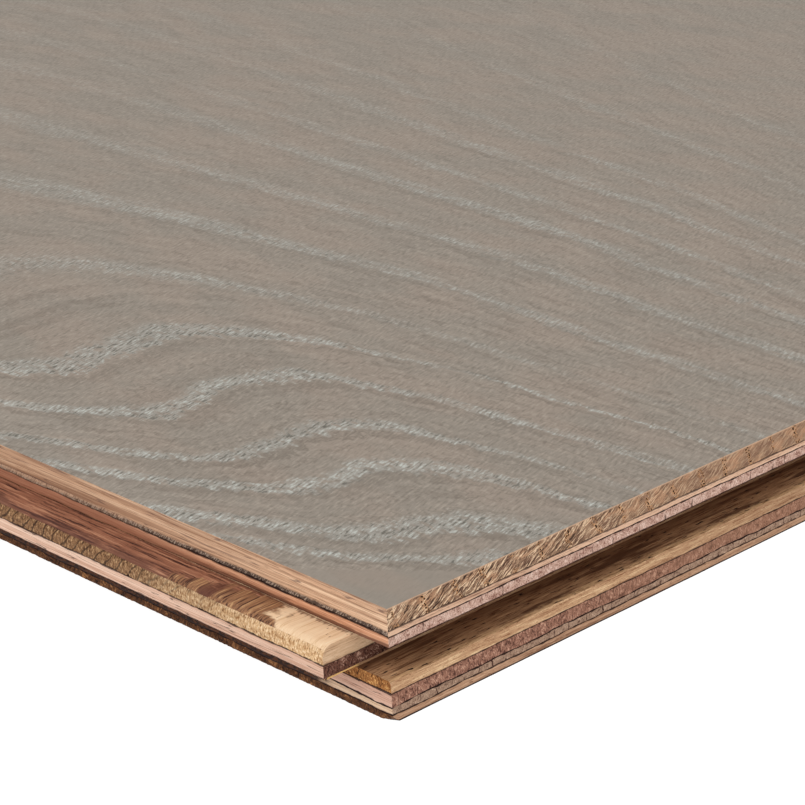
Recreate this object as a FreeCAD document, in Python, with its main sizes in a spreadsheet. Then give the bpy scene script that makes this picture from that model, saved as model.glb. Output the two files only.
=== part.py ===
import FreeCAD, Part
import os
import Sketcher

# Wide engineered floorboard: an oak face on eight thinner plies laid crosswise in turn.
# One long side and one end carry a tongue, the other long side and end carry a groove.
# X runs along the board, Y across it and Z up. The origin is on the underside, in the
# middle of the outer box, tongues included. Lengths are in millimetres.

doc = FreeCAD.newDocument("floorboard")
sizes = doc.addObject("Spreadsheet::Sheet", "sizes")

DRIVING_SIZES = [
    # What shows of the board once the floor is laid
    ("face_length", "2200"),
    ("face_width", "300"),
    # Thickness of each sheet, from the face down
    ("oak_thickness", "3"),
    ("upper_cross_thickness", "0.75"),
    ("upper_long_thickness", "1.35"),
    ("tongue_cross_thickness", "2.4"),
    ("tongue_long_thickness", "1.75"),
    ("lip_cross_thickness", "1.9"),
    ("lower_long_thickness", "1.8"),
    ("backing_long_thickness", "1"),
    ("backing_cross_thickness", "1.05"),
    # The groove, and the play that the next board's tongue has in it
    ("groove_depth", "6"),
    ("groove_height", "4.4"),
    ("nose_play", "0.9"),
    ("side_play", "0.05"),
    # Rounding of the tongue's nose, and of the edges round the face
    ("nose_top_radius", "1.6"),
    ("nose_bottom_radius", "0.4"),
    ("face_edge_radius", "0.25"),
    # The corner that is broken off the lowest ply
    ("broken_corner", "2.2"),
]

# The sheets from the face down: the name of each, and the size that is its thickness
PLIES = [
    ("oak_wear_layer", "oak_thickness"),
    ("upper_cross_veneer", "upper_cross_thickness"),
    ("upper_long_ply", "upper_long_thickness"),
    ("tongue_cross_ply", "tongue_cross_thickness"),
    ("tongue_long_ply", "tongue_long_thickness"),
    ("lip_cross_ply", "lip_cross_thickness"),
    ("lower_long_ply", "lower_long_thickness"),
    ("backing_long_ply", "backing_long_thickness"),
    ("backing_cross_ply", "backing_cross_thickness"),
]
# The groove's ceiling is the glue line under this ply
LOWEST_PLY_OF_UPPER_LIP = "upper_long_ply"
PLY_WITH_BROKEN_CORNER = "backing_cross_ply"

names = [name for name, _ in PLIES]
thicknesses = [thickness for _, thickness in PLIES]
below_upper_lip = thicknesses[names.index(LOWEST_PLY_OF_UPPER_LIP) + 1:]


def total(aliases, prefix=""):
    return " + ".join(prefix + alias for alias in aliases) or "0"


DERIVED_SIZES = [
    ("board_thickness", total(thicknesses)),
    ("groove_ceiling", total(below_upper_lip)),
    ("groove_floor", "groove_ceiling - groove_height"),
    ("tongue_top", "groove_ceiling - side_play"),
    ("tongue_bottom", "groove_floor + side_play"),
    ("tongue_reach", "groove_depth - nose_play"),
    ("outer_length", "face_length + tongue_reach"),
    ("outer_width", "face_width + tongue_reach"),
    ("chip_half_side", "broken_corner / sqrt(2)"),
    # Along the board, from the middle of the outer box
    ("end_nose", "-outer_length / 2"),
    ("end_shoulder", "end_nose + tongue_reach"),
    ("end_groove_bottom", "outer_length / 2 - groove_depth"),
    ("grooved_end", "outer_length / 2"),
    # Across the board, from the middle of the outer box
    ("side_nose", "-outer_width / 2"),
    ("side_shoulder", "side_nose + tongue_reach"),
    ("side_groove_bottom", "outer_width / 2 - groove_depth"),
    ("grooved_side", "outer_width / 2"),
]

rows = DRIVING_SIZES + [(alias, "=" + formula) for alias, formula in DERIVED_SIZES]
for row, (alias, content) in enumerate(rows, start=1):
    sizes.set(f"A{row}", alias)
    sizes.set(f"B{row}", content)
    sizes.setAlias(f"B{row}", alias)
doc.recompute()


def new_body(name, plane_role):
    """Give a body and a sketch on one of its own origin planes."""
    body = doc.addObject("PartDesign::Body", name)
    planes = [plane for plane in body.Origin.OriginFeatures if plane.Role == plane_role]
    sketch = body.newObject("Sketcher::SketchObject", name + "_section")
    sketch.AttachmentSupport = (planes[0], "")
    sketch.MapMode = "FlatFace"
    return body, sketch


def value(alias):
    return sizes.get(alias) if alias else 0.0


def draw_outline(sketch, corners):
    """Draw a closed outline of level and upright lines, each tied to one of the sizes.

    A corner names the sizes that place it across and up, and the one that rounds it. None
    in place of the height is the underside, and in place of the radius a sharp corner.
    """
    points = [FreeCAD.Vector(value(across), value(up), 0) for across, up, _ in corners]
    radii = [value(radius) for _, _, radius in corners]
    lines = []
    for index, point in enumerate(points):
        after = (index + 1) % len(points)
        along = (points[after] - point).normalize()
        start = point + along * radii[index]
        end = points[after] - along * radii[after]
        lines.append(sketch.addGeometry(Part.LineSegment(start, end)))

    for index, line in enumerate(lines):
        across, up, radius = corners[index]
        level = corners[(index + 1) % len(corners)][1] == up
        sketch.addConstraint(Sketcher.Constraint("Horizontal" if level else "Vertical", line))
        if level and up is None:
            sketch.addConstraint(Sketcher.Constraint("PointOnObject", line, 1, -1))
        else:
            kind, alias = ("DistanceY", up) if level else ("DistanceX", across)
            tie_to_size(sketch, Sketcher.Constraint(kind, -1, 1, line, 1, value(alias)), alias)
        if radius is None:
            joint = Sketcher.Constraint("Coincident", lines[index - 1], 2, line, 1)
            sketch.addConstraint(joint)
        else:
            round_corner(sketch, lines[index - 1], line, points[index], radius)


def tie_to_size(sketch, constraint, alias):
    number = sketch.addConstraint(constraint)
    sketch.setExpression(f"Constraints[{number}]", "sizes." + alias)


def round_corner(sketch, line_before, line_after, corner, radius):
    """Join two lines that stop short of their corner with an arc that both are tangent to."""
    start = sketch.getPoint(line_before, 2)
    end = sketch.getPoint(line_after, 1)
    centre = start + end - corner
    middle = centre + (corner - centre).normalize() * value(radius)
    arc = sketch.addGeometry(Part.Arc(start, middle, end))
    # The arc's own first point is the one from which it turns anticlockwise
    turned_round = (sketch.getPoint(arc, 1) - start).Length > (sketch.getPoint(arc, 1) - end).Length
    first, last = (2, 1) if turned_round else (1, 2)
    sketch.addConstraint(Sketcher.Constraint("Tangent", line_before, 2, arc, first))
    sketch.addConstraint(Sketcher.Constraint("Tangent", arc, last, line_after, 1))
    tie_to_size(sketch, Sketcher.Constraint("Radius", arc, value(radius)), radius)


def moulded_body(name, plane_role, length, shoulder, nose, groove_bottom, grooved_face):
    """One pass of the moulder: the tongue-and-groove section, as long as the board that way."""
    body, sketch = new_body(name, plane_role)
    draw_outline(sketch, [
        (shoulder, None, None),
        (grooved_face, None, None),
        (grooved_face, "groove_floor", None),
        (groove_bottom, "groove_floor", None),
        (groove_bottom, "groove_ceiling", None),
        (grooved_face, "groove_ceiling", None),
        (grooved_face, "board_thickness", "face_edge_radius"),
        (shoulder, "board_thickness", "face_edge_radius"),
        (shoulder, "tongue_top", None),
        (nose, "tongue_top", "nose_top_radius"),
        (nose, "tongue_bottom", "nose_bottom_radius"),
        (shoulder, "tongue_bottom", None),
    ])
    pad = body.newObject("PartDesign::Pad", name + "_length")
    pad.Profile = sketch
    pad.SideType = "Symmetric"
    pad.setExpression("Length", "sizes." + length)
    return body


# The long sides are moulded along the board and the ends across it. The board is what both
# passes leave, so each groove cuts the tongue that it meets back by its own depth.
along = moulded_body("moulded_along", "YZ_Plane", "outer_length",
                     "side_shoulder", "side_nose", "side_groove_bottom", "grooved_side")
across = moulded_body("moulded_across", "XZ_Plane", "outer_width",
                      "end_shoulder", "end_nose", "end_groove_bottom", "grooved_end")
board = doc.addObject("Part::Common", "milled_board")
board.Base = along
board.Tool = across

# The sheets are glued up oversize and milled together
for number, (name, thickness) in enumerate(PLIES):
    sheet = doc.addObject("Part::Box", name + "_sheet")
    sheet.setExpression("Length", "sizes.outer_length")
    sheet.setExpression("Width", "sizes.outer_width")
    sheet.setExpression("Height", "sizes." + thickness)
    sheet.setExpression("Placement.Base.x", "sizes.end_nose")
    sheet.setExpression("Placement.Base.y", "sizes.side_nose")
    sheet.setExpression("Placement.Base.z", total(thicknesses[number + 1:], "sizes."))
    ply = doc.addObject("Part::Common", name + "_milled")
    ply.Base = sheet
    ply.Tool = board
    ply.Label = name

# The broken corner keeps the ply's upper corner whole and widens towards the underside. A
# four-sided point stands under that corner, turned so that its sides cross both edges alike.
chip = doc.addObject("Part::Wedge", "broken_off_corner")
for side, formula in (
    ("Xmin", "-sizes.chip_half_side"), ("Xmax", "sizes.chip_half_side"),
    ("Zmin", "-sizes.chip_half_side"), ("Zmax", "sizes.chip_half_side"),
    ("Ymin", "0"), ("Ymax", "sizes." + dict(PLIES)[PLY_WITH_BROKEN_CORNER]),
    ("X2min", "0"), ("X2max", "0"), ("Z2min", "0"), ("Z2max", "0"),
):
    chip.setExpression(side, formula)
UPRIGHT, TURNED = 90, 45
chip.Placement = FreeCAD.Placement(FreeCAD.Vector(), FreeCAD.Rotation(TURNED, 0, UPRIGHT))
chip.setExpression("Placement.Base.x", "sizes.grooved_end")
chip.setExpression("Placement.Base.y", "sizes.side_shoulder")

whole_ply = doc.getObject(PLY_WITH_BROKEN_CORNER + "_milled")
whole_ply.Label = PLY_WITH_BROKEN_CORNER + " before the corner broke"
broken_ply = doc.addObject("Part::Cut", PLY_WITH_BROKEN_CORNER + "_broken")
broken_ply.Base = whole_ply
broken_ply.Tool = chip
broken_ply.Label = PLY_WITH_BROKEN_CORNER
doc.recompute()
if not broken_ply.Shape.Volume < whole_ply.Shape.Volume:
    raise RuntimeError("the broken corner took nothing away")

for thing in doc.Objects:
    if "Invalid" in thing.State or "Error" in thing.State:
        raise RuntimeError(f"{thing.Label} did not build: {thing.State}")

os.makedirs("parts", exist_ok=True)
for name in names:
    shape = doc.getObjectsByLabel(name)[0].Shape
    if shape.isNull() or not shape.isValid() or len(shape.Solids) != 1:
        raise RuntimeError(f"{name} is not one valid solid")
    shape.exportStep(f"parts/{name}.step")
    print(f"{name}: {shape.Volume / 1000:.2f} cm3")
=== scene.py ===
from math import cos, pi, radians, sin

import bpy
from mathutils import Matrix, Vector
from mathutils.noise import noise as lattice


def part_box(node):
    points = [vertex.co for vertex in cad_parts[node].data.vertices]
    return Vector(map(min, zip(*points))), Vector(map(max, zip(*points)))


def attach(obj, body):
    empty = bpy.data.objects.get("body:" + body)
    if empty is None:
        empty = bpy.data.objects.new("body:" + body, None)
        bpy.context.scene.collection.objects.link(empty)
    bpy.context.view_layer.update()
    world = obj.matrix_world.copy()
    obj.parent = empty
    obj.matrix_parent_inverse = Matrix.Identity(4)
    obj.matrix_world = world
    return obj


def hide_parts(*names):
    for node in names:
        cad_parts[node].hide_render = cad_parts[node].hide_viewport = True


# An engineered oak floorboard lying on a pale floor. The sheets that it is glued up from keep
# the CAD model's places and sizes. Here they get torn edges, glue lines and grain.
# Lengths are in millimetres until they are handed to Blender, which gets metres.

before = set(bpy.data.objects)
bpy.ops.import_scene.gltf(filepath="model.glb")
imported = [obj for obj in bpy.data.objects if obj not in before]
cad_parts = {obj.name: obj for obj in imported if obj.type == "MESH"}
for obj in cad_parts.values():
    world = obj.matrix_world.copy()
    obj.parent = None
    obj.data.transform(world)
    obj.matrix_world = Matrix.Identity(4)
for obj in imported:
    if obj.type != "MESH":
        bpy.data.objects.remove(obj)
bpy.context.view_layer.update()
scene = bpy.context.scene
MM = 0.001


def box(node):
    """The lowest and highest corner of a CAD node in millimetres."""
    low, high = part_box(node)
    return Vector(low) / MM, Vector(high) / MM


# Places on the board, read off the sheets of the model
face_low, face_high = box("oak_wear_layer")
core_low, core_high = box("tongue_cross_ply")
GROOVED_END, GROOVED_SIDE = face_high.x, face_high.y
END_SHOULDER, SIDE_SHOULDER = face_low.x, face_low.y
END_NOSE, SIDE_NOSE = core_low.x, core_low.y
END_GROOVE_BOTTOM, SIDE_GROOVE_BOTTOM = core_high.x, core_high.y
TOP = face_high.z

# Heights of the milled section that lie inside a sheet, and the edges that are not sharp
GROOVE_FLOOR = 5.5
TONGUE_BOTTOM = 5.55
TONGUE_TOP = 9.85
NOSE_TOP_RADIUS = 1.6
NOSE_BOTTOM_RADIUS = 0.4
FACE_EDGE_RADIUS = 0.25
BROKEN_CORNER = (2.2, 1.1)  # along the side, along the end

# Outlines of the board in plan, as (least x, greatest x, least y, greatest y)
FACE = (END_SHOULDER, GROOVED_END, SIDE_SHOULDER, GROOVED_SIDE)
CORE = (END_NOSE, END_GROOVE_BOTTOM, SIDE_NOSE, SIDE_GROOVE_BOTTOM)
WAIST = (END_SHOULDER, END_GROOVE_BOTTOM, SIDE_SHOULDER, SIDE_GROOVE_BOTTOM)


# The camera looks down on the corner between the grooved end and the tongued side

IMAGE_SIZE = 805
CAMERA_AZIMUTH = 42.0
CAMERA_ELEVATION = 21.21
CAMERA_ROLL = -3.06
CAMERA_DISTANCE = 294.5
FOCAL_PIXELS = 2552
CORNER_IN_IMAGE = (386.5, 609.0)


def aim_camera():
    azimuth, elevation, roll = map(radians, (CAMERA_AZIMUTH, CAMERA_ELEVATION, CAMERA_ROLL))
    level = cos(elevation)
    forward = Vector((-level * cos(azimuth), level * sin(azimuth), -sin(elevation)))
    right = forward.cross(Vector((0, 0, 1))).normalized()
    up = right.cross(forward)
    right, up = right * cos(roll) + up * sin(roll), up * cos(roll) - right * sin(roll)
    across = (CORNER_IN_IMAGE[0] - IMAGE_SIZE / 2) / FOCAL_PIXELS
    down = (CORNER_IN_IMAGE[1] - IMAGE_SIZE / 2) / FOCAL_PIXELS
    corner = Vector((GROOVED_END, SIDE_SHOULDER, TOP))
    place = corner - CAMERA_DISTANCE * (forward + across * right - down * up)

    camera = bpy.data.objects.new("camera", bpy.data.cameras.new("camera"))
    scene.collection.objects.link(camera)
    turn = Matrix((right, up, -forward)).transposed().to_4x4()
    camera.matrix_world = Matrix.Translation(place * MM) @ turn
    camera.data.lens = camera.data.sensor_width * FOCAL_PIXELS / IMAGE_SIZE
    camera.data.clip_start = 0.01
    scene.camera = camera


aim_camera()


# Node trees are written as sums: a Field is a number or colour that varies over a surface

class Field:
    """A socket of a node tree. Arithmetic on it adds the nodes that work the result out."""

    def __init__(self, socket):
        self.socket = socket

    def maths(self, operation, *others):
        return add_node(self.socket.id_data, "ShaderNodeMath", (self,) + others,
                        operation=operation)

    def __add__(self, other):
        return self.maths("ADD", other)

    def __sub__(self, other):
        return self.maths("SUBTRACT", other)

    def __mul__(self, other):
        return self.maths("MULTIPLY", other)

    def __truediv__(self, other):
        return self.maths("DIVIDE", other)

    def __rsub__(self, other):
        return self * -1 + other

    __radd__ = __add__
    __rmul__ = __mul__

    def absolute(self):
        return self.maths("ABSOLUTE")

    def square_root(self):
        return self.maths("SQRT")

    def least(self, other):
        return self.maths("MINIMUM", other)

    def most(self, other):
        return self.maths("MAXIMUM", other)

    def rise(self, low, high):
        """0 up to low, 1 from high and smooth between. It falls where high is less than low."""
        return add_node(self.socket.id_data, "ShaderNodeMapRange", (self, low, high, 0.0, 1.0),
                        interpolation_type="SMOOTHSTEP")


def feed(tree, socket, value):
    if isinstance(value, Field):
        tree.links.new(value.socket, socket)
    else:
        socket.default_value = value


def add_node(tree, kind, inputs=(), output=0, **options):
    """Add a node, set its options, feed its inputs in order or by name, give one output."""
    node = tree.nodes.new(kind)
    for option, setting in options.items():
        setattr(node, option, setting)
    named = inputs.items() if isinstance(inputs, dict) else enumerate(inputs)
    for key, value in named:
        feed(tree, node.inputs[key], value)
    return Field(node.outputs[output])


def between(one, other, amount):
    """One number where amount is 0, the other where it is 1."""
    return (other - one) * amount + one


def rgb(red, green, blue):
    """A colour as it looks on a screen, 0 to 255, for a socket that wants linear light."""
    def linear(part):
        part /= 255
        return part / 12.92 if part <= 0.04045 else ((part + 0.055) / 1.055) ** 2.4
    return (linear(red), linear(green), linear(blue), 1.0)


class Finish:
    """A material under construction, with the places on the board that its fields use."""

    def __init__(self, name):
        self.material = bpy.data.materials.new(name)
        self.material.use_nodes = True
        self.tree = self.material.node_tree
        self.shader = self.tree.nodes["Principled BSDF"]
        place = add_node(self.tree, "ShaderNodeTexCoord", output="Object")
        parts = self.tree.nodes.new("ShaderNodeSeparateXYZ")
        feed(self.tree, parts.inputs[0], place)
        self.x, self.y, self.z = (Field(part) / MM for part in parts.outputs)
        # From the corner in front: back along the board, and across it
        self.back = GROOVED_END - self.x
        self.across = self.y - SIDE_SHOULDER

    def point(self, size, at, seed):
        """The place in units of size, given in mm for each direction."""
        places = at or (self.x, self.y, self.z)
        sides = [place / side + seed for place, side in zip(places, size)]
        return add_node(self.tree, "ShaderNodeCombineXYZ", sides)

    def noise(self, size, detail=2.0, roughness=0.5, at=None, seed=0.0):
        """Cloudy noise from 0 to 1 with features of that size."""
        inputs = {"Vector": self.point(size, at, seed), "Scale": 1.0,
                  "Detail": detail, "Roughness": roughness}
        return add_node(self.tree, "ShaderNodeTexNoise", inputs)

    def spots(self, size, at=None, seed=0.0):
        """Distance to the nearest of many scattered points, which lie that far apart."""
        inputs = {"Vector": self.point(size, at, seed), "Scale": 1.0}
        return add_node(self.tree, "ShaderNodeTexVoronoi", inputs)

    def crack(self, size, width, at=None, seed=0.0):
        """Thin wandering lines, where noise of that size passes through its middle value."""
        middle = (self.noise(size, detail=1.5, at=at, seed=seed) - 0.5).absolute()
        return middle.rise(width, width * 0.3)

    def cross_cuts(self, gap, width, seed=0.0):
        """Thin upright lines that far apart, round the sides and ends of the board."""
        wobble = self.noise((0.8, 0.8, 0.8), detail=1, seed=seed) * 0.8
        round_board = {"W": (self.x + self.y + wobble) / gap + seed, "Scale": 1.0}
        cut = add_node(self.tree, "ShaderNodeTexVoronoi", round_board,
                       voronoi_dimensions="1D", feature="DISTANCE_TO_EDGE")
        return (cut * gap).rise(width, width * 0.4)

    def attribute(self, name):
        return add_node(self.tree, "ShaderNodeAttribute", output="Fac", attribute_name=name)

    def paint(self, base, *coats):
        """A base colour under coats, each a colour and how much of it covers."""
        for colour, amount in coats:
            mixer = self.tree.nodes.new("ShaderNodeMix")
            mixer.data_type = "RGBA"
            for slot, value in ((0, amount), (6, base), (7, colour)):
                feed(self.tree, mixer.inputs[slot], value)
            base = Field(mixer.outputs[2])
        return base

    def curve(self, place, points):
        """A number that eases through (place, value) points, with places from 0 to 1."""
        ramp = self.tree.nodes.new("ShaderNodeValToRGB")
        ramp.color_ramp.interpolation = "EASE"
        stops = ramp.color_ramp.elements
        while len(stops) < len(points):
            stops.new(0.5)
        for stop, (position, value) in zip(stops, points):
            stop.position = position
            stop.color = (value, value, value, 1.0)
        feed(self.tree, ramp.inputs[0], place)
        return Field(ramp.outputs[0])

    def bands(self, place, rings, low, high):
        """1 in the middle of each ring between low and high, and 0 beyond its half width."""
        points = [(0.0, 0.0)]
        for ring, strength, half in rings:
            middle, reach = (ring - low) / (high - low), half / (high - low)
            points += [(middle - reach, 0.0), (middle, strength), (middle + reach, 0.0)]
        return self.curve((place - low) / (high - low), points)

    def complete(self, colour, roughness, height, depth, specular=0.3):
        """Hand the colour, the roughness and the relief, depth in mm, to the shader."""
        feed(self.tree, self.shader.inputs["Base Color"], colour)
        feed(self.tree, self.shader.inputs["Roughness"], roughness)
        feed(self.tree, self.shader.inputs["Specular IOR Level"], specular)
        relief = {"Height": height, "Distance": depth * MM, "Strength": 1.0}
        feed(self.tree, self.shader.inputs["Normal"], add_node(self.tree, "ShaderNodeBump", relief))
        return self.material


# The oak's face. Each light band of brushed pores has a place in the ring field, a strength
# and a half width. Rings close round the corner in front, and farther off they run along

CLOSED_RINGS = [
    (25.9, 0.75, 1.7), (31.2, 0.95, 2.9), (40.4, 1.0, 2.0), (47.4, 0.9, 1.7), (57.0, 1.0, 1.8),
    (66.5, 1.0, 1.1), (73.8, 0.55, 2.1),
]
RUNNING_RINGS = [
    (87.1, 0.75, 3.6), (101.4, 0.75, 3.6), (113.9, 0.8, 3.2), (121.9, 0.7, 2.8),
    (131.8, 0.75, 3.2), (140.2, 0.7, 3.0), (155.9, 0.65, 3.2), (171.7, 0.6, 3.4),
]
FIRST_RUNNING, LAST_RING = 80, 180
DARK_EDGE = 1.7  # how far inside a band its dark edge lies

# The closed rings, with the notch in them, and the line that the running ones fan out from
RING_STRETCH = 2.08
CLOSED_REACH, SLOPE_BEYOND = 66, 0.36
NOTCH_ACROSS, NOTCH_WIDTH, NOTCH_DEPTH = 12, 20.5, 41
NOTCH_SLANT, NOTCH_FADES_FROM, NOTCH_FADE = 0.1, 60, 0.17
FAN_LINE, FAN_START, FAN_LENGTH, FAN_AMOUNT = 97, 43, 171, 0.59
BENT_BEFORE, BEND = 80, 0.11
ROUNDED_JOIN = 14.5

# Down the board the figure is one of arches, on both sides of their middle line
ARCHES_FROM, ARCHES_FULL = 330, 480
ARCH_LINE, ARCH_TIP, ARCH_SLANT, ARCH_GAP = 150, 600, 0.05, 12
FIBRES_LEAVE_RINGS = (300, 420)

# The bands fade back along the board and across it, the fibres by the sum of the two, and
# both come back farther down the board
BANDS_FADE_BACK, BANDS_FADE_ACROSS, FIBRES_FADE = (90, 240), (90, 250), (110, 270)
CLEAR_AGAIN = (380, 620)


def ring_field(m, unevenness):
    """How far out through the rings a place lies, and how far if none of them closed."""
    back, across = m.back, m.across
    from_notch = (across - back * NOTCH_SLANT - NOTCH_ACROSS) / NOTCH_WIDTH
    depth = NOTCH_DEPTH - (back - NOTCH_FADES_FROM).most(0) * NOTCH_FADE
    notch = (from_notch * from_notch * -1).maths("EXPONENT") * depth.most(0)
    reach = (back + notch) / RING_STRETCH
    closed = (reach * reach + across * across).square_root() + unevenness
    limited = closed.least(CLOSED_REACH) + (closed - CLOSED_REACH).most(0) * SLOPE_BEYOND
    fan = ((back - FAN_START) / FAN_LENGTH).maths("TANH") * FAN_AMOUNT
    bend = (BENT_BEFORE - back).most(0) * BEND
    running = (across - FAN_LINE) * (1 - fan) + FAN_LINE + bend + unevenness
    return limited.maths("SMOOTH_MAX", running, ROUNDED_JOIN), running


def oak_face():
    """Grey-taupe oak with light bands of brushed pores, and a calm corner in front."""
    m = Finish("limed_oak_face")
    wander = (m.noise((14, 5, 9), detail=2, seed=3) - 0.5) * 2.4
    lumps = m.noise((2.4, 1.1, 1.0), detail=2, seed=8)
    rings, running = ring_field(m, wander + (lumps - 0.5) * 3.0)
    down_the_board = m.back.rise(ARCHES_FROM, ARCHES_FULL)
    near = m.bands(rings, CLOSED_RINGS, 0, FIRST_RUNNING)
    near = near.most(m.bands(rings, RUNNING_RINGS, FIRST_RUNNING, LAST_RING))
    inside = rings + DARK_EDGE
    edge = m.bands(inside, CLOSED_RINGS, 0, FIRST_RUNNING)
    edge = edge.most(m.bands(inside, RUNNING_RINGS, FIRST_RUNNING, LAST_RING))

    # Some of the arches stand close together and some far apart
    cloud = m.noise((22, 9, 12), detail=3, seed=6)
    from_line = m.across - ARCH_LINE
    arches = (from_line * from_line + ARCH_TIP).square_root() - m.back * ARCH_SLANT
    arches = arches + (arches * 0.11).maths("SINE") * 3.5 + (cloud - 0.5) * 6 + wander
    far = (arches * (2 * pi / ARCH_GAP)).maths("SINE").rise(0.5, 1.0) * 0.8
    ringed = between(near, far, down_the_board)
    edge = edge * (1 - down_the_board)

    # Bands are broad where rings cross the board, and thin lines where they run along it
    lengthwise = (m.across - m.back * 0.4).rise(16, 44)
    band = (ringed - lengthwise * 0.15).rise(0.1, 0.75)

    # Brushed pores slant across the board, and fibres follow the rings
    along = m.x * 0.3 - m.y * 0.95
    aside = m.x * 0.95 + m.y * 0.3
    strokes = m.noise((1.6, 0.42, 1.0), detail=2, roughness=0.6, at=(along, aside, m.z), seed=2)
    followed = between(rings, running, m.back.rise(*FIBRES_LEAVE_RINGS))
    fibres = m.noise((14, 0.66, 1.0), detail=2, roughness=0.6, at=(m.x, followed, m.z), seed=4)
    marks = strokes * 0.92 + fibres * 0.3 - 0.11
    calm = (m.back * 0.8 + m.across).rise(12.6, 14.0)
    gaps = m.noise((18, 2.2, 9), detail=2, seed=10).rise(0.32, 0.58)
    broken = calm * lumps.rise(0.27, 0.52) * between(1, gaps, lengthwise * 0.8)
    # The figure is faint in the middle distance, and clear again down the board
    faint = 1 - m.back.rise(*CLEAR_AGAIN)
    broken = broken * (1 - m.back.rise(*BANDS_FADE_BACK) * faint * 0.6)
    broken = broken * (1 - m.across.rise(*BANDS_FADE_ACROSS) * faint * 0.5)
    flow = calm * (1 - (m.back + m.across).rise(*FIBRES_FADE) * faint * 0.6)
    band = band * broken
    crisp = 1 - rings.rise(70, 90) * 0.35
    colour = m.paint(
        rgb(146, 136, 124),
        (rgb(156, 140, 126), cloud.rise(0.4, 0.64) * 0.6),
        (rgb(110, 100, 88), edge.rise(0.3, 0.95) * broken * 0.35),
        (rgb(112, 101, 89), marks.rise(0.5, 0.3) * (calm * 0.4 + 0.15)),
        (rgb(178, 166, 152), marks.rise(0.5, 0.72) * (calm * 0.42 + 0.12)),
        (rgb(116, 103, 90), fibres.rise(0.48, 0.34) * flow * 0.3),
        (rgb(166, 152, 137), fibres.rise(0.54, 0.68) * flow * 0.26),
        (rgb(166, 164, 156), band * 0.55),
        (rgb(98, 94, 84), marks.rise(0.47, 0.34) * band * crisp * 0.9),
        (rgb(198, 201, 194), marks.rise(0.52, 0.68) * band * crisp * 0.85),
    )
    roughness = band * 0.1 + marks * 0.15 + 0.42
    return m.complete(colour, roughness, strokes, 0.03)


def oak_end_grain():
    """Slanting rays with dark gaps between them, and steep rows of open pores."""
    m = Finish("oak_end_grain")
    outward = m.y * 0.84 + m.z * 0.54
    round_ring = m.z * 0.84 - m.y * 0.54
    bend = (m.noise((8, 6, 4), detail=1, seed=1) - 0.5) * 1.8
    kink = (m.noise((5, 1.8, 1.4), detail=2, seed=5) - 0.5) * 0.7
    place = (m.x, outward + bend, round_ring + bend * 0.4 + kink)
    rays = m.noise((5.0, 1.6, 0.17), detail=2, roughness=0.6, at=place, seed=4)
    blotch = m.noise((5.0, 0.9, 0.3), detail=3, roughness=0.7, at=place, seed=9)
    porous = ((m.y + m.z * 0.4 + bend) * (2 * pi / 4.9)).maths("SINE").rise(0.72, 0.97)
    porous = porous * m.noise((5, 5, 1.6), detail=1, seed=6).rise(0.3, 0.45)
    pores = m.spots((6.0, 0.36, 0.36), seed=7)
    small = m.spots((6.0, 0.26, 0.26), at=place, seed=3)
    blurred = 1 - m.across.rise(14, 70) * 0.75
    mottled = m.noise((6, 3.0, 1.3), detail=3, roughness=0.6, seed=19)
    colour = m.paint(
        rgb(164, 129, 102),
        (rgb(74, 52, 40), blotch.rise(0.52, 0.34) * blurred),
        (rgb(196, 148, 114), mottled.rise(0.5, 0.62) * 0.6),
        (rgb(126, 90, 72), mottled.rise(0.48, 0.38) * 0.6),
        (rgb(208, 176, 146), blotch.rise(0.56, 0.7) * blurred * 0.7),
        (rgb(54, 36, 28), rays.rise(0.45, 0.37) * blurred),
        (rgb(240, 206, 170), rays.rise(0.54, 0.61) * blurred),
        (rgb(64, 44, 34), small.rise(0.26, 0.14) * 0.7 * blurred),
        (rgb(206, 152, 106), porous * pores.rise(0.62, 0.42) * 0.9),
        (rgb(36, 17, 9), porous * pores.rise(0.42, 0.3)),
        (rgb(216, 178, 148), (TOP - m.z).rise(0.34, 0.1) * 0.85),
    )
    colour = m.paint(colour, *glue(m, 0.9, 0.0))
    height = blotch * 0.8 + rays * 0.6 - porous * pores.rise(0.42, 0.25)
    return m.complete(colour, 0.8, height, 0.1, specular=0.15)


def glue(m, below, above, width=0.1):
    """Dark glue along the lower and the upper edge of a sheet, as a coat of paint."""
    uneven = m.noise((1.6, 1.6, 1.6), detail=2, seed=11) * width * 3 - width * 0.6
    low = (uneven - m.attribute("from_bottom")).rise(-0.03, 0.03) * below
    high = (uneven - m.attribute("from_top")).rise(-0.03, 0.03) * above
    return [(rgb(46, 28, 23), low.most(high))]


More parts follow.
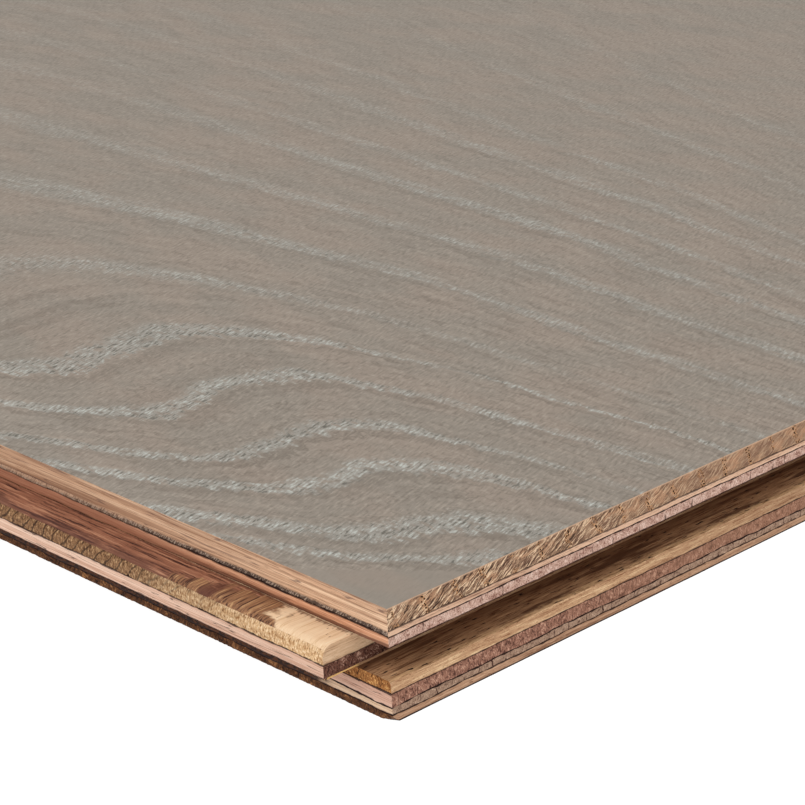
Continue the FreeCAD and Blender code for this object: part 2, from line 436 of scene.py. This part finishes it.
def long_grain(name, along, base, dark, light, lines=(0.0, 0.0), streak=20.0, fine=0.14,
               contrast=1.0, seed=0.0, coats=None):
    """Streaks that run with the fibres, on the faces that show them lengthwise.

    The streaks are that long and that fine in mm. Lines are how dark the glue is below and
    above, and may add how wide it is. Coats lie over the grain and under the glue.
    """
    m = Finish(name)
    size = (streak, fine * 4, fine) if along == "x" else (fine * 4, streak, fine)
    drift = m.z + (m.x if along == "x" else m.y) * 0.006
    place = (m.x, m.y, drift)
    streaks = m.noise(size, detail=3, roughness=0.65, at=place, seed=seed)
    broad = m.noise([side * 4 for side in size], detail=1, at=place, seed=seed + 5)
    mixed = streaks * 0.6 + broad * 0.4
    short = m.noise([size[0] / 6, size[1] / 3, fine * 0.8] if along == "x"
                    else [size[0] / 3, size[1] / 6, fine * 0.8], detail=2, seed=seed + 9)
    colour = m.paint(
        base,
        (dark, mixed.rise(0.5, 0.32) * contrast),
        (light, mixed.rise(0.5, 0.68) * contrast),
        (dark, short.rise(0.42, 0.3) * 0.6 * contrast),
        (light, short.rise(0.6, 0.72) * 0.5 * contrast),
    )
    if coats:
        colour = m.paint(colour, *coats(m))
    colour = m.paint(colour, *glue(m, *lines))
    return m.complete(colour, 0.68, mixed * 0.6 + short * 0.4, 0.06, specular=0.15)


def end_grain(name, along, base, dark, light, lines=(0.0, 0.0), size=0.16, curl=0.6,
              stretch=2.0, contrast=1.0, seed=0.0, coats=None):
    """Cut fibre ends: specks and short curls on the faces that cross the grain.

    The curls are that size in mm. Lines and coats are as in long_grain.
    """
    m = Finish(name)
    level = m.y if along == "x" else m.x
    swirl = (m.noise((1.4, 1.4, 0.9), detail=1, seed=seed) - 0.5) * curl * 2
    place = (level + swirl + m.z * 0.3, m.z + swirl, 0.0)
    curls = m.noise((size, size * stretch, 1.0), detail=2, roughness=0.7, at=place, seed=seed)
    blotch = m.noise((size * 6, size * 6, size * 5), detail=2, seed=seed + 3)
    specks = m.spots((size * 1.3, size * 1.3, 1.0), at=place, seed=seed + 2)
    mixed = curls * 0.65 + blotch * 0.35
    pits = specks.rise(0.3, 0.12)
    colour = m.paint(
        base,
        (dark, mixed.rise(0.5, 0.36) * contrast),
        (light, mixed.rise(0.52, 0.66) * contrast),
        (dark, pits * 0.6 * contrast),
    )
    if coats:
        colour = m.paint(colour, *coats(m))
    colour = m.paint(colour, *glue(m, *lines))
    return m.complete(colour, 0.8, mixed - pits * 0.3, 0.1, specular=0.1)


def tongue_top():
    """Clean pale wood in front, then stained, then under what is left of the ply above."""
    m = Finish("tongue_top_face")
    grain = m.noise((0.3, 7.0, 0.6), detail=3, roughness=0.7, seed=21)
    broad = m.noise((2.2, 16.0, 2.0), detail=2, seed=23)
    patch = m.noise((3.0, 2.2, 3.0), detail=3, seed=25) - 0.5
    from_nose = m.y - SIDE_NOSE
    flecks = m.noise((0.4, 1.6, 1.0), detail=1, seed=26)
    clean = m.paint(
        rgb(240, 206, 168), (rgb(218, 178, 136), grain.rise(0.5, 0.32)),
        (rgb(248, 224, 190), grain.rise(0.54, 0.7)),
        (rgb(112, 50, 38), flecks.rise(0.71, 0.75)))
    brown = m.paint(
        rgb(150, 106, 74), (rgb(66, 36, 28), grain.rise(0.5, 0.36)),
        (rgb(198, 154, 110), grain.rise(0.54, 0.68)),
        (rgb(96, 54, 42), broad.rise(0.48, 0.62) * 0.85))
    torn = m.noise((9.0, 0.3, 0.5), detail=3, roughness=0.65, seed=27)
    remnant = m.paint(
        rgb(150, 98, 74), (rgb(66, 36, 29), torn.rise(0.5, 0.36)),
        (rgb(186, 134, 104), torn.rise(0.52, 0.66)),
        (rgb(84, 48, 38), (from_nose + patch * 4 + (torn - 0.5) * 5).rise(2.2, 0.8) * 0.6))
    stained = (m.back + patch * 14 + from_nose * -0.9).rise(13.5, 15.5)
    covered = (m.back + patch * 26 + torn * 6 + from_nose * 2.0).rise(38, 41)
    # Partly dark torn fibres, partly painted shade in the corner along the shoulder's root
    root = (SIDE_SHOULDER - m.y + (grain - 0.5) * 2.6).rise(0.55, 0.1)
    root = root * (1 - m.back.rise(30, 45))
    colour = m.paint(clean, (brown, stained), (remnant, covered), (rgb(112, 70, 50), root * 0.75))
    height = between(grain, torn + 0.5, covered)
    return m.complete(colour, 0.65, height, 0.1, specular=0.2)


def nose_end_grain():
    """Fibre ends round the tongue's nose, pale in front and rope-like farther back."""
    m = Finish("tongue_nose")
    streak = m.noise((0.16, 1.2, 0.7), detail=2, roughness=0.7, seed=41)
    clumps = m.noise((0.5, 0.5, 0.4), detail=3, roughness=0.65, seed=42)
    pits = m.spots((0.4, 0.4, 0.34), seed=43).rise(0.24, 0.1)
    twist = m.noise((3.0, 3.0, 3.0), detail=1, seed=45) - 0.5
    strands = ((m.x - m.z * 0.9 + twist * 3) * (2 * pi / 2.3)).maths("SINE").rise(0.8, 0.98)
    brown = (m.back + (m.noise((9, 4, 3), detail=2, seed=44) - 0.5) * 24).rise(12, 46)
    mixed = streak * 0.6 + clumps * 0.4
    pale = m.paint(
        rgb(216, 174, 128), (rgb(150, 102, 58), mixed.rise(0.5, 0.38)),
        (rgb(250, 222, 182), mixed.rise(0.5, 0.6)), (rgb(104, 60, 30), pits * 0.35),
        (rgb(238, 204, 164), (m.z + (streak - 0.5) * 2).rise(TONGUE_TOP - 1.2, TONGUE_TOP) * 0.8))
    golden = m.paint(
        rgb(140, 102, 70), (rgb(66, 40, 24), mixed.rise(0.52, 0.38)),
        (rgb(198, 160, 118), mixed.rise(0.52, 0.64)), (rgb(44, 26, 16), pits * 0.7),
        (rgb(48, 28, 18), strands * 0.75))
    # Painted shade: above the tongue's top the side is painted dark, in the corner at its root
    step = (rgb(92, 56, 42), m.z.rise(TONGUE_TOP - 0.02, TONGUE_TOP + 0.01))
    colour = m.paint(m.paint(pale, (golden, brown)), step, *glue(m, 0.9, 0.0))
    return m.complete(colour, 0.75, mixed - pits * 0.5, 0.16, specular=0.15)


def groove_floor():
    """Wood with painted shade deeper inside the groove, and pale along its worn lip."""
    m = Finish("groove_floor_face")
    grain = m.noise((0.26, 4.0, 0.6), detail=3, roughness=0.75, seed=31)
    broad = m.noise((1.1, 14.0, 2.0), detail=3, roughness=0.6, seed=33)
    pits = m.noise((0.32, 1.6, 1.0), detail=1, seed=35)
    worn = (m.noise((0.5, 1.2, 1.0), detail=3, seed=36) - 0.5) * 2.2
    lip = (GROOVED_END - m.x + worn).rise(1.3, 0.3)
    colour = m.paint(
        rgb(186, 142, 104), (rgb(112, 72, 46), grain.rise(0.5, 0.36)),
        (rgb(222, 180, 138), grain.rise(0.54, 0.68) * 0.8),
        (rgb(92, 56, 36), broad.rise(0.5, 0.62) * 0.85),
        # Painted shade: the floor darkens from 2.2 mm behind the lip, deeper into the groove
        (rgb(120, 80, 52), (GROOVED_END - m.x).rise(2.2, 5.5) * 0.45),
        (rgb(212, 170, 126), lip * 0.8),
        (rgb(140, 98, 62), lip * grain.rise(0.5, 0.38)),
        (rgb(34, 16, 10), pits.rise(0.66, 0.74)),
    )
    return m.complete(colour, 0.7, grain - pits.rise(0.64, 0.74), 0.1, specular=0.2)


def checks(gap, width, amount, seed):
    """A coat for a face with upright cracks, as a function of its finish."""
    def on(m):
        gone = m.noise((gap, gap, 1.5), detail=1, seed=seed + 1).rise(0.4, 0.55)
        return [(rgb(70, 42, 34), m.cross_cuts(gap, width, seed) * gone * amount)]
    return on


DARK_LINE = rgb(44, 27, 22)


def splits(*coats):
    """Coats for a face with long thin dark splits along its grain."""
    def on(m):
        return [(DARK_LINE, m.crack((18, 3, 0.45), width, seed=seed) * amount)
                for width, seed, amount in coats]
    return on


def veneer_side(m):
    """The veneer's ends on the long side: pale above, a dark fuzzy strip below."""
    jagged = m.noise((0.5, 0.5, 0.5), detail=2, roughness=0.7, seed=61) - 0.5
    far = m.back.rise(30, 75)
    thick = m.noise((6.0, 6.0, 2.0), detail=1, seed=65) * 0.5 - far * 0.35
    low = m.attribute("from_bottom") + jagged * 0.5 - thick
    slanting = (m.x - m.z * 0.8, m.y, m.z)
    hairs = m.noise((0.2, 1.0, 0.7), detail=2, roughness=0.7, at=slanting, seed=62)
    strip = low.rise(0.5, 0.3)
    return [(rgb(200, 162, 134), 0.85), (rgb(112, 82, 66), hairs.rise(0.5, 0.36) * 0.8),
            (rgb(92, 74, 64), strip * (1 - far * 0.6)),
            (rgb(178, 156, 138), strip * hairs.rise(0.49, 0.6) * 0.9),
            (rgb(50, 34, 30), low.rise(0.02, -0.1) * (1 - far * 0.5))]


def salmon_side(m):
    """Painted shade along the root of the tongue's shoulder, and darker farther back."""
    # Painted shade: dark along the bottom of this side, in the corner over the tongue's top
    root = (m.attribute("from_bottom") + (m.noise((3, 1, 0.3), seed=63) - 0.5) * 0.5)
    far = m.back.rise(25, 55)
    return [(rgb(160, 106, 82), far * 0.7),
            (rgb(104, 64, 48), root.rise(0.6, 0.3) * (1 - far) * 0.8)]


def side_darker_back(m):
    """Oak that is darker farther back, with a few streaks and splits."""
    streaks = m.noise((40, 2, 0.8), detail=1, seed=66).rise(0.5, 0.6) * m.back.rise(15, 60)
    return [(rgb(140, 102, 74), m.back.rise(20, 110) * 0.4), (rgb(146, 106, 80), streaks * 0.7),
            (rgb(108, 80, 70), m.crack((26, 3, 0.55), 0.016, seed=68) * 0.7)]


def golden_edge(m):
    """Browner wood farther across, and a golden edge under the tongue."""
    under_tongue = (m.y - SIDE_SHOULDER).rise(0.8, 0.0)
    return [(rgb(130, 94, 68), m.across.rise(25, 90) * 0.4),
            (rgb(236, 190, 122), m.attribute("from_bottom").rise(1.62, 1.7) * under_tongue)]


def underside_edge(m):
    """A dark line along the lowest edge."""
    return [(rgb(48, 30, 22), m.attribute("from_bottom").rise(0.26, 0.14))]


def shadow_under_tongue_side(start):
    """Painted shadow under the tongue's overhang, dark and mottled, which starts that far back."""
    def on(m):
        edge = m.back + (m.noise((4, 1, 0.5), detail=2, seed=64) - 0.5) * 6
        mottled = m.noise((0.8, 0.8, 0.5), detail=3, roughness=0.65, seed=67)
        # Painted shadow: the side darkens from that far back, where the tongue overhangs it
        stained = edge.rise(start - 2, start + 3)
        return [(rgb(84, 48, 26), stained), (rgb(36, 18, 10), mottled.rise(0.56, 0.42) * stained)]
    return on


def lower_end(m):
    """Upright cracks in front, and browner wood farther across."""
    return checks(1.2, 0.08, 0.5, 58)(m) + [(rgb(162, 120, 92), m.across.rise(15, 70) * 0.4)]


def broken_face(m):
    """Dark wood where the corner broke off, and a dark line along the lowest edge."""
    inside = (GROOVED_END - m.x).rise(0.12, 0.2) * m.back.rise(4, 3)
    return [(rgb(104, 70, 48), inside)] + underside_edge(m)


# For each sheet: what shows on its long sides, on its butt ends, and where it lies level
FINISHES = {
    "oak_wear_layer": (
        long_grain("oak_long_side", "x", rgb(210, 168, 136), rgb(150, 110, 82), rgb(238, 202, 168),
                   lines=(0.3, 0), fine=0.1, contrast=1.3, seed=12,
                   coats=side_darker_back),
        oak_end_grain(), oak_face()),
    "upper_cross_veneer": (
        end_grain("upper_veneer_end_grain", "y", rgb(150, 122, 102), rgb(70, 48, 40),
                  rgb(206, 176, 148), size=0.13, seed=2, coats=veneer_side),
        long_grain("upper_veneer_long_grain", "y", rgb(226, 184, 154), rgb(140, 98, 76),
                   rgb(240, 202, 172), lines=(0.9, 0.7), streak=6, seed=1)),
    "upper_long_ply": (
        long_grain("upper_ply_long_grain", "x", rgb(206, 147, 112), rgb(138, 86, 63),
                   rgb(232, 178, 142), lines=(0.2, 0.6), fine=0.1, seed=3, contrast=1.5,
                   coats=salmon_side),
        end_grain("upper_ply_end_grain", "x", rgb(206, 168, 150), rgb(140, 98, 84),
                  rgb(238, 208, 192), lines=(0.6, 1), size=0.16, contrast=1.5, seed=4,
                  coats=checks(4.2, 0.12, 0.8, 53))),
    "tongue_cross_ply": (
        nose_end_grain(),
        long_grain("tongue_core_long_grain", "y", rgb(214, 178, 142), rgb(164, 120, 88),
                   rgb(236, 206, 172), lines=(0.7, 0), streak=5, seed=5),
        tongue_top()),
    "tongue_long_ply": (
        long_grain("tongue_ply_long_grain", "x", rgb(214, 174, 150), rgb(170, 122, 98),
                   rgb(238, 206, 184), lines=(0.5, 0.8), fine=0.12, seed=7,
                   coats=splits((0.012, 54, 0.8))),
        end_grain("tongue_ply_end_grain", "x", rgb(112, 74, 60), rgb(44, 24, 22),
                  rgb(200, 160, 138), lines=(0, 0.9), size=0.2, seed=8)),
    "lip_cross_ply": (
        end_grain("lip_end_grain", "y", rgb(156, 102, 56), rgb(58, 28, 13), rgb(224, 172, 108),
                  lines=(1, 0), size=0.24, contrast=1.2, seed=10),
        long_grain("lip_long_grain", "y", rgb(198, 154, 116), rgb(138, 92, 60),
                   rgb(236, 200, 156), lines=(0.9, 0), streak=2.4, fine=0.13, contrast=1.2,
                   seed=9, coats=golden_edge),
        groove_floor()),
    "lower_long_ply": (
        long_grain("lower_ply_long_grain", "x", rgb(206, 164, 142), rgb(164, 116, 96),
                   rgb(232, 196, 174), lines=(1, 0.9, 0.14), fine=0.12, seed=11,
                   coats=splits((0.012, 57, 0.8))),
        end_grain("lower_ply_end_grain", "x", rgb(160, 114, 94), rgb(84, 52, 44),
                  rgb(208, 162, 138), lines=(1, 0.8), size=0.17, stretch=3.0, contrast=1.5, seed=12,
                  coats=lower_end)),
    # The backing ply's long side gets painted shadow under the tongue
    "backing_long_ply": (
        long_grain("backing_ply_long_grain", "x", rgb(214, 182, 152), rgb(170, 132, 104),
                   rgb(236, 206, 176), lines=(1, 1, 0.14), fine=0.12, seed=13,
                   coats=shadow_under_tongue_side(12)),
        end_grain("backing_ply_end_grain", "x", rgb(168, 136, 114), rgb(96, 70, 56),
                  rgb(212, 180, 156), lines=(1, 1), size=0.15, seed=14,
                  coats=checks(2.6, 0.1, 1.0, 56))),
    "backing_cross_ply": (
        end_grain("backing_end_grain", "y", rgb(92, 58, 36), rgb(28, 14, 8), rgb(158, 110, 70),
                  lines=(0, 1, 0.16), size=0.32, curl=1.2, seed=16),
        long_grain("backing_long_grain", "y", rgb(184, 142, 112), rgb(138, 98, 72),
                   rgb(212, 172, 140), lines=(0, 0.9), streak=6, seed=15,
                   contrast=1.5, coats=broken_face)),
}


# The skins of the sheets, on grids that are fine round the corner in front

FINE_STEP = 0.2
FINE_REACH = 60
COARSE_STEP = 8.0
GROWTH = 1.03
NEAR_GLUE = (0.06, 0.16)  # rows of points this far from a glue line
SAME = 1e-4  # places closer together than this are one place


def graded(fine_end, far_end):
    """Places that are close together at the fine end and grow apart towards the far one."""
    direction = 1 if far_end > fine_end else -1
    places, step, gone = [fine_end], FINE_STEP, 0.0
    while abs(far_end - fine_end) - gone > step * 1.5:
        gone += step
        places.append(fine_end + direction * gone)
        if gone > FINE_REACH:
            step = min(step * GROWTH, COARSE_STEP)
    return sorted(places + [far_end])


def with_own_places(lines, own):
    """Grid lines that also pass through a sheet's own places, with none crowding those."""
    kept = [line for line in lines if all(abs(line - place) > FINE_STEP / 3 for place in own)]
    return sorted(kept + list(own))


X_LINES = graded(GROOVED_END, END_NOSE)
Y_LINES = graded(SIDE_NOSE, GROOVED_SIDE)


def sheet_levels(node):
    """How a sheet is milled: its heights and outlines, from its underside up."""
    low, high = (corner.z for corner in box(node))
    if node == "oak_wear_layer":
        eased = tuple(place + FACE_EDGE_RADIUS * (1, -1)[number % 2]
                      for number, place in enumerate(FACE))
        rim = high - FACE_EDGE_RADIUS
        return [(low, FACE), (rim, FACE), (high, FACE), (high, eased)]
    if node == "tongue_cross_ply":
        return [(low, CORE), (TONGUE_TOP, CORE), (TONGUE_TOP, WAIST), (high, WAIST)]
    if node == "tongue_long_ply":
        return [(low, CORE), (high, CORE)]
    if node == "lip_cross_ply":
        return [(low, FACE), (GROOVE_FLOOR, FACE), (GROOVE_FLOOR, WAIST),
                (TONGUE_BOTTOM, WAIST), (TONGUE_BOTTOM, CORE), (high, CORE)]
    return [(low, FACE), (high, FACE)]


def rows_between(low, high):
    """Heights up a side: even, with some close to the glue at each end."""
    if high - low < NEAR_GLUE[1] * 3:
        return [low, high]
    first, last = low + NEAR_GLUE[1], high - NEAR_GLUE[1]
    count = max(1, round((last - first) / FINE_STEP))
    middle = [first + (last - first) * number / count for number in range(count + 1)]
    return [low, low + NEAR_GLUE[0]] + middle + [high - NEAR_GLUE[0], high]


SIDE, BUTT, LEVEL = range(3)


class Skin:
    """The closed surface of one sheet."""

    def __init__(self, node):
        self.places = []
        self.outward = []
        self.numbers = {}
        self.faces = []
        self.finishes = []
        levels = sheet_levels(node)
        self.xs = with_own_places(X_LINES, {x for _, outline in levels for x in outline[:2]})
        self.ys = with_own_places(Y_LINES, {y for _, outline in levels for y in outline[2:]})
        for (low, outline), (high, other) in zip(levels, levels[1:]):
            if high > low:
                self.add_sides(outline, rows_between(low, high))
            else:
                self.add_ledge(outline, other, low)
        self.add_cap(*levels[0], up=False)
        self.add_cap(*levels[-1], up=True)

    def vertex(self, place):
        key = tuple(round(part, 4) for part in place)
        if key not in self.numbers:
            self.numbers[key] = len(self.places)
            self.places.append(Vector(key))
            self.outward.append(Vector())
        return self.numbers[key]

    def add_face(self, corners, finish, normal):
        """Add a face. Its corners turn anticlockwise when seen from outside."""
        numbers = [self.vertex(corner) for corner in corners]
        self.faces.append(numbers)
        self.finishes.append(finish)
        for number in numbers:
            self.outward[number] += Vector(normal)

    def span(self, lines, low, high):
        return [line for line in lines if low - SAME < line < high + SAME]

    def add_sides(self, outline, rows):
        x0, x1, y0, y1 = outline
        xs, ys = self.span(self.xs, x0, x1), self.span(self.ys, y0, y1)
        for low, high in zip(rows, rows[1:]):
            for a, b in zip(xs, xs[1:]):
                self.add_face([(a, y0, low), (b, y0, low), (b, y0, high), (a, y0, high)],
                              SIDE, (0, -1, 0))
                self.add_face([(b, y1, low), (a, y1, low), (a, y1, high), (b, y1, high)],
                              SIDE, (0, 1, 0))
            for a, b in zip(ys, ys[1:]):
                self.add_face([(x1, a, low), (x1, b, low), (x1, b, high), (x1, a, high)],
                              BUTT, (1, 0, 0))
                self.add_face([(x0, b, low), (x0, a, low), (x0, a, high), (x0, b, high)],
                              BUTT, (-1, 0, 0))

    def add_ledge(self, below, above, height):
        """Level faces between two outlines. They look up where the sheet narrows upward."""
        inner = [choose(pair) for choose, pair in zip((max, min) * 2, zip(below, above))]
        outer = [choose(pair) for choose, pair in zip((min, max) * 2, zip(below, above))]
        looks_up = list(below) == outer
        xs, ys = self.span(self.xs, *outer[:2]), self.span(self.ys, *outer[2:])
        for a, b in zip(xs, xs[1:]):
            beyond = b < inner[0] + SAME or a > inner[1] - SAME
            for c, d in zip(ys, ys[1:]):
                if beyond or d < inner[2] + SAME or c > inner[3] - SAME:
                    corners = [(a, c, height), (b, c, height), (b, d, height), (a, d, height)]
                    if not looks_up:
                        corners.reverse()
                    self.add_face(corners, LEVEL, (0, 0, 1 if looks_up else -1))

    def add_cap(self, height, outline, up):
        x0, x1, y0, y1 = outline
        xs, ys = self.span(self.xs, x0, x1), self.span(self.ys, y0, y1)
        loop = [(x, y0, height) for x in xs] + [(x1, y, height) for y in ys[1:]]
        loop += [(x, y1, height) for x in xs[-2::-1]] + [(x0, y, height) for y in ys[-2:0:-1]]
        self.add_face(loop if up else loop[::-1], LEVEL, (0, 0, 0))


# What the mill, the saw and the glue did to those skins

box_of = {node: tuple(corner.z for corner in box(node)) for node in FINISHES}
ALONG = {node: "y" if "cross" in node else "x" for node in FINISHES}
ROUGH_SHEETS = {"tongue_cross_ply", "lip_cross_ply", "backing_cross_ply", "upper_cross_veneer"}

# How far the glue line under each sheet wanders up and down, by the line's height
WAVES = {round(box_of[node][0], 2): reach for node, reach in (
    ("oak_wear_layer", 0.08), ("upper_cross_veneer", 0.1), ("upper_long_ply", 0.06),
    ("tongue_cross_ply", 0.11), ("lip_cross_ply", 0.12), ("lower_long_ply", 0.24),
    ("backing_long_ply", 0.14))}
GLUE_REACH = 0.5  # how far from a glue line its waves are felt
PARTING_REACH, PARTING_DEPTH = 0.1, 0.1
WORN_REACH = 0.8
BARELY, FAR_OFF = 0.01, 9


def rough(place, size, seed):
    """Smooth noise from -1 to 1, with features of that size in mm in each direction."""
    return lattice(Vector(part / side + seed for part, side in zip(place, size)))


def glue_wave(place, height):
    reach = WAVES.get(round(height, 2), 0)
    if not reach:
        return 0.0
    return reach * (rough((place.x, place.y, height), (5, 5, 1), height)
                    + 0.6 * rough((place.x, place.y, height), (1.6, 1.6, 1), height * 3))


def round_edge(place, axis, edge, inward, centre_height, radius, up):
    """Move a point of a square edge onto the round one. The round is up or down from there."""
    centre = edge + inward * radius
    aside = (centre - place[axis]) * inward
    rise = (place.z - centre_height) * up
    if aside > 1e-6 and rise > 1e-6:
        length = (aside * aside + rise * rise) ** 0.5
        place[axis] = centre - inward * aside / length * radius
        place.z = centre_height + up * rise / length * radius


def milled(node, place):
    """Where a point of a square skin lies once the sheet's edges are rounded."""
    spot = place.copy()
    noses = ((0, END_NOSE), (1, SIDE_NOSE))
    if node == "oak_wear_layer":
        rim = TOP - FACE_EDGE_RADIUS
        for axis, edge, inward in ((0, FACE[0], 1), (0, FACE[1], -1),
                                   (1, FACE[2], 1), (1, FACE[3], -1)):
            round_edge(spot, axis, edge, inward, rim, FACE_EDGE_RADIUS, 1)
    if node == "tongue_cross_ply":
        for axis, edge in noses:
            round_edge(spot, axis, edge, 1, TONGUE_TOP - NOSE_TOP_RADIUS, NOSE_TOP_RADIUS, 1)
    if node in ("tongue_long_ply", "lip_cross_ply"):
        for axis, edge in noses:
            round_edge(spot, axis, edge, 1, TONGUE_BOTTOM + NOSE_BOTTOM_RADIUS,
                       NOSE_BOTTOM_RADIUS, -1)
    return spot


def torn_depth(node, place, outward):
    """How deep the saw and the mill tore a sheet's skin."""
    butt = abs(outward.x) > 0.5
    if abs(outward.z) > 0.6:
        if node == "oak_wear_layer":
            return 0.0
        depth = 0.05 * (1 + rough(place, (0.5, 5.0, 0.6), 7))
        return depth + 0.1 * max(0.0, rough(place, (1.2, 9.0, 1.0), 17) - 0.1)
    if butt == (ALONG[node] == "x"):
        depth = 0.045 * (1 + rough(place, (0.35, 0.35, 0.35), 3))
        depth += 0.12 * max(0.0, rough(place, (0.9, 0.9, 0.7), 5)) ** 2
        return depth * 2 if node in ROUGH_SHEETS else depth
    size = (1.0, 6.0, 0.3) if butt else (6.0, 1.0, 0.3)
    return 0.03 * (1 + rough(place, size, 9))


def wear_lip(spot, place):
    """Blunt the edge of the groove's lower lip."""
    for axis, edge in ((0, GROOVED_END), (1, GROOVED_SIDE)):
        from_edge = max(edge - place[axis], GROOVE_FLOOR - place.z)
        if -BARELY < from_edge < WORN_REACH and place.z < GROOVE_FLOOR + BARELY:
            worn = (0.16 + 0.2 * rough(place, (1.3, 1.3, 1.3), 23)
                    + 0.1 * rough(place, (0.4, 0.4, 0.4), 29))
            worn = max(0.0, worn) * (1 - from_edge / WORN_REACH)
            spot[axis] -= worn
            spot.z -= worn * 0.8


def break_corner(spot):
    """Push a point of the lowest sheet in to where its corner has broken away."""
    height = box_of["backing_cross_ply"][1]
    along_side, along_end = BROKEN_CORNER
    left = 1 - spot.z / height + 0.1 * rough(spot, (0.6, 0.6, 0.6), 31)
    from_end, from_side = GROOVED_END - spot.x, spot.y - SIDE_SHOULDER
    short = left - from_end / along_side - from_side / along_end
    if short > 0:
        spot.x -= short * along_side / 2
        spot.y += short * along_end / 2


def weathered(node, place, outward):
    """Where a point of a sheet's skin lies once it is milled, glued and torn."""
    low, high = box_of[node]
    spot = milled(node, place)
    outward = outward.normalized() if outward.length else outward

    # Glue lines wander. The underside and the face have none
    over = place.z - low if place.z > BARELY else FAR_OFF
    under = high - place.z if place.z < TOP - BARELY else FAR_OFF
    if over < GLUE_REACH:
        spot.z += glue_wave(place, low) * (1 - over / GLUE_REACH)
    if under < GLUE_REACH:
        spot.z += glue_wave(place, high) * (1 - under / GLUE_REACH)

    # Sheets part a little at some of the glue lines
    depth = torn_depth(node, place, outward)
    parting = min(over, under)
    if parting < PARTING_REACH and node != "tongue_cross_ply":
        opened = max(0.0, 0.55 + rough(place, (3, 3, 3), 13))
        depth += PARTING_DEPTH * opened * (1 - parting / PARTING_REACH)
    spot -= outward * depth

    if node == "lip_cross_ply":
        wear_lip(spot, place)
    if node == "backing_cross_ply":
        break_corner(spot)
    return spot


def make_piece(node, materials):
    """Dress a sheet of the model. Its materials are for its sides, its butts and its levels."""
    skin = Skin(node)
    low, high = box_of[node]
    places = [weathered(node, place, outward) for place, outward in zip(skin.places, skin.outward)]
    mesh = bpy.data.meshes.new(node + "_piece")
    mesh.from_pydata([place * MM for place in places], [], skin.faces)
    for name, heights in (("from_bottom", [place.z - low for place in skin.places]),
                          ("from_top", [high - place.z for place in skin.places])):
        mesh.attributes.new(name, "FLOAT", "POINT").data.foreach_set("value", heights)
    for material in materials:
        mesh.materials.append(material)
    last = len(materials) - 1
    mesh.polygons.foreach_set("material_index", [min(finish, last) for finish in skin.finishes])
    mesh.polygons.foreach_set("use_smooth", [True] * len(mesh.polygons))
    mesh.update()
    mesh.set_sharp_from_angle(angle=radians(35))
    piece = bpy.data.objects.new(node + "_piece", mesh)
    scene.collection.objects.link(piece)
    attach(piece, "root")
    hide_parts(node)


for node, materials in FINISHES.items():
    make_piece(node, materials)


# Plain pale floor and soft light

def add_floor(half=40.0):
    mesh = bpy.data.meshes.new("floor")
    corners = [(-half, -half, 0), (half, -half, 0), (half, half, 0), (-half, half, 0)]
    mesh.from_pydata(corners, [], [(0, 1, 2, 3)])
    pale = bpy.data.materials.new("pale_floor")
    pale.use_nodes = True
    shader = pale.node_tree.nodes["Principled BSDF"]
    shader.inputs["Base Color"].default_value = (0.2, 0.2, 0.2, 1.0)
    shader.inputs["Roughness"].default_value = 0.9
    shader.inputs["Emission Color"].default_value = (1.0, 1.0, 1.0, 1.0)
    shader.inputs["Emission Strength"].default_value = 0.95
    mesh.materials.append(pale)
    floor = bpy.data.objects.new("floor", mesh)
    scene.collection.objects.link(floor)


def add_softbox(name, azimuth, elevation, distance, size, power):
    """A square lamp that looks at the corner in front, at that distance in metres."""
    azimuth, elevation = radians(azimuth), radians(elevation)
    level = cos(elevation)
    direction = Vector((level * cos(azimuth), level * sin(azimuth), sin(elevation)))
    lamp = bpy.data.lights.new(name, "AREA")
    lamp.shape = "SQUARE"
    lamp.size = size
    lamp.energy = power
    holder = bpy.data.objects.new(name, lamp)
    holder.location = Vector((GROOVED_END, SIDE_SHOULDER, TOP)) * MM + direction * distance
    holder.rotation_euler = direction.to_track_quat("Z", "Y").to_euler()
    scene.collection.objects.link(holder)


def light_scene():
    world = bpy.data.worlds.new("studio")
    world.use_nodes = True
    background = world.node_tree.nodes["Background"]
    background.inputs["Color"].default_value = (1.0, 1.0, 1.0, 1.0)
    background.inputs["Strength"].default_value = 0.6
    scene.world = world
    scene.view_settings.view_transform = "Standard"
    add_softbox("key_light", azimuth=-105, elevation=50, distance=1.6, size=1.0, power=9)
    add_softbox("top_light", azimuth=60, elevation=75, distance=2.0, size=1.5, power=7)


add_floor()
light_scene()
